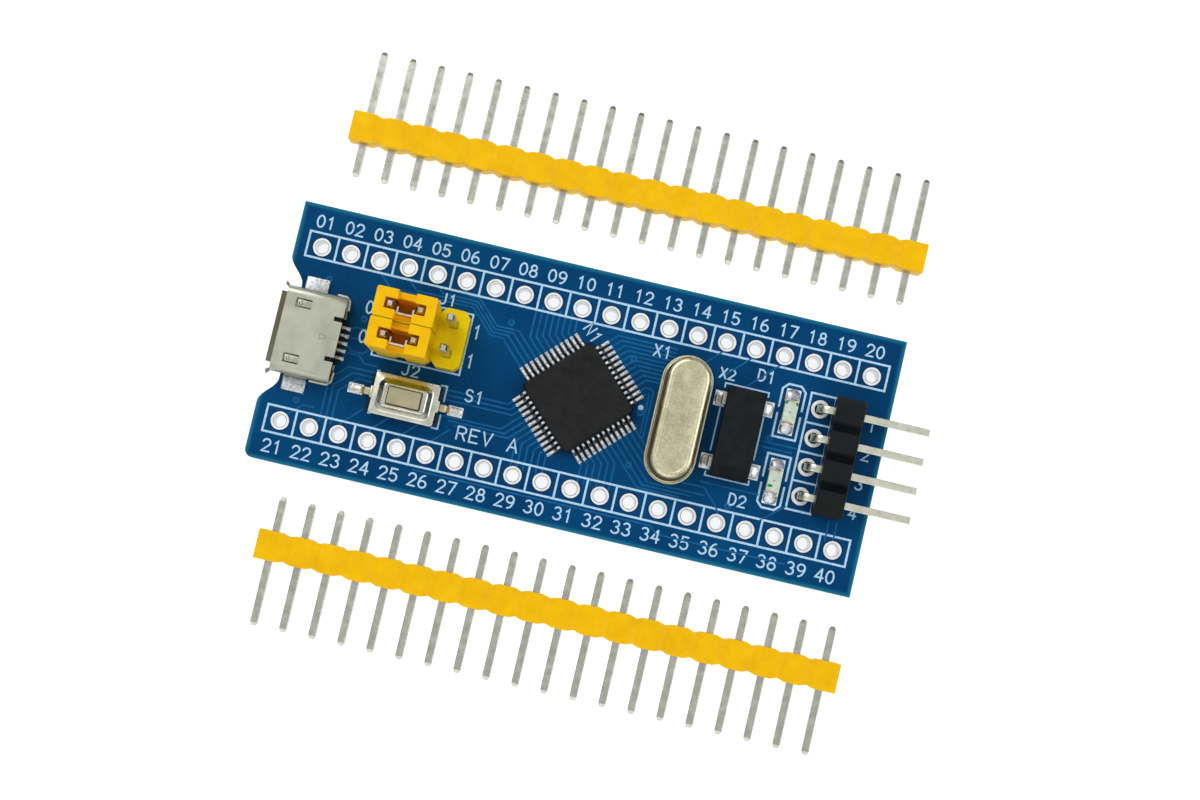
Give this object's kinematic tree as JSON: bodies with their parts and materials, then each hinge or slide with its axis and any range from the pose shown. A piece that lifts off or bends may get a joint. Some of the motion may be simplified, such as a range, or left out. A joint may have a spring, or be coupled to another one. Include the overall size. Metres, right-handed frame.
{
  "type": "microcontroller development board",
  "caption": "Microcontroller board with rows of pin holes, a USB socket, boot jumpers, a reset button, right-angle debug pins and loose pin strips lying beside it.",
  "frame": {"origin": "centre of the 2 x 20 grid of pin holes, at the board's underside", "axes": "+X along the board from the USB socket to the debug header, +Y towards the row of holes nearer the boot jumpers, +Z out of the component side"},
  "size_m": [0.0566, 0.0507, 0.0116],
  "materials": {
    "solder_mask": "smooth blue solder mask over glass-fibre laminate",
    "tinned_copper": "hot-air levelled tin",
    "solder": "wavy, half bright",
    "shell_steel": "satin nickel on steel",
    "cover_steel": "bright pressed steel",
    "can_metal": "brushed nickel on steel",
    "black_plastic": "fine moulded",
    "chip_epoxy": "fine sandy moulding compound",
    "plated_contacts": "thin gold plate",
    "pin_metal": "tin-plated brass, satin",
    "clip_metal": "bright spring bronze, plated",
    "tinned_leads": "tinned, half bright",
    "yellow_plastic": "moulded nylon, soft sheen",
    "beige_plastic": "moulded, dull",
    "led_substrate": "white laminate",
    "led_resin": "milky clear resin",
    "tan_ceramic": "unglazed",
    "dark_ceramic": "glassy overcoat",
    "quartz": "lapped clear quartz",
    "print_ink": "thin pale blue-white printed ink"
  },
  "bodies": {
    "board": {"pcb": "solder_mask", "hole_rings": "tinned_copper", "surface_pads": "tinned_copper", "solder_joints": "solder", "usb_shell": "shell_steel", "usb_insulator": "black_plastic", "usb_contacts": "plated_contacts", "boot_header_base": "yellow_plastic", "boot_header_pins": "pin_metal", "reset_base": "black_plastic", "reset_cover": "cover_steel", "reset_leads": "tinned_leads", "reset_dome": "cover_steel", "mcu_body": "chip_epoxy", "mcu_leads": "tinned_leads", "crystal_can": "can_metal", "crystal_base": "can_metal", "crystal_leads": "tinned_leads", "crystal_blank": "quartz", "clock_crystal_body": "chip_epoxy", "clock_crystal_leads": "tinned_leads", "power_led_base": "led_substrate", "power_led_lens": "led_resin", "power_led_ends": "tinned_leads", "user_led_base": "led_substrate", "user_led_lens": "led_resin", "user_led_ends": "tinned_leads", "debug_header_body": "black_plastic", "debug_header_pins": "pin_metal", "regulator_body": "chip_epoxy", "regulator_leads": "tinned_leads", "capacitor_bodies": "tan_ceramic", "resistor_bodies": "dark_ceramic", "chip_ends": "tinned_leads"},
    "jumper_a": {"jumper_a_cap": "yellow_plastic", "jumper_a_clip": "clip_metal"},
    "jumper_b": {"jumper_b_cap": "yellow_plastic", "jumper_b_clip": "clip_metal"},
    "plunger": {"reset_plunger": "beige_plastic"},
    "strip_a": {"strip_a_bar": "yellow_plastic", "strip_a_pins": "pin_metal"},
    "strip_b": {"strip_b_bar": "yellow_plastic", "strip_b_pins": "pin_metal"}
  },
  "joints": [
    {"name": "reset_press", "type": "slide", "parent": "board", "child": "plunger", "axis": [0, 0, -1], "range_m": [0, 0.00025], "stiffness_N_per_m": 6000, "springref_m": -0.00005, "deforming": ["reset_dome"]},
    {"name": "jumper_a_lift", "type": "slide", "parent": "board", "child": "jumper_a", "axis": [0, 0, 1], "range_m": [0, 0.009]},
    {"name": "jumper_b_lift", "type": "slide", "parent": "board", "child": "jumper_b", "axis": [0, 0, 1], "range_m": [0, 0.009]},
    {"name": "strip_a_lift", "type": "slide", "parent": "board", "child": "strip_a", "axis": [0, 0, 1], "range_m": [0, 0.015]},
    {"name": "strip_b_lift", "type": "slide", "parent": "board", "child": "strip_b", "axis": [0, 0, 1], "range_m": [0, 0.015]}
  ]
}
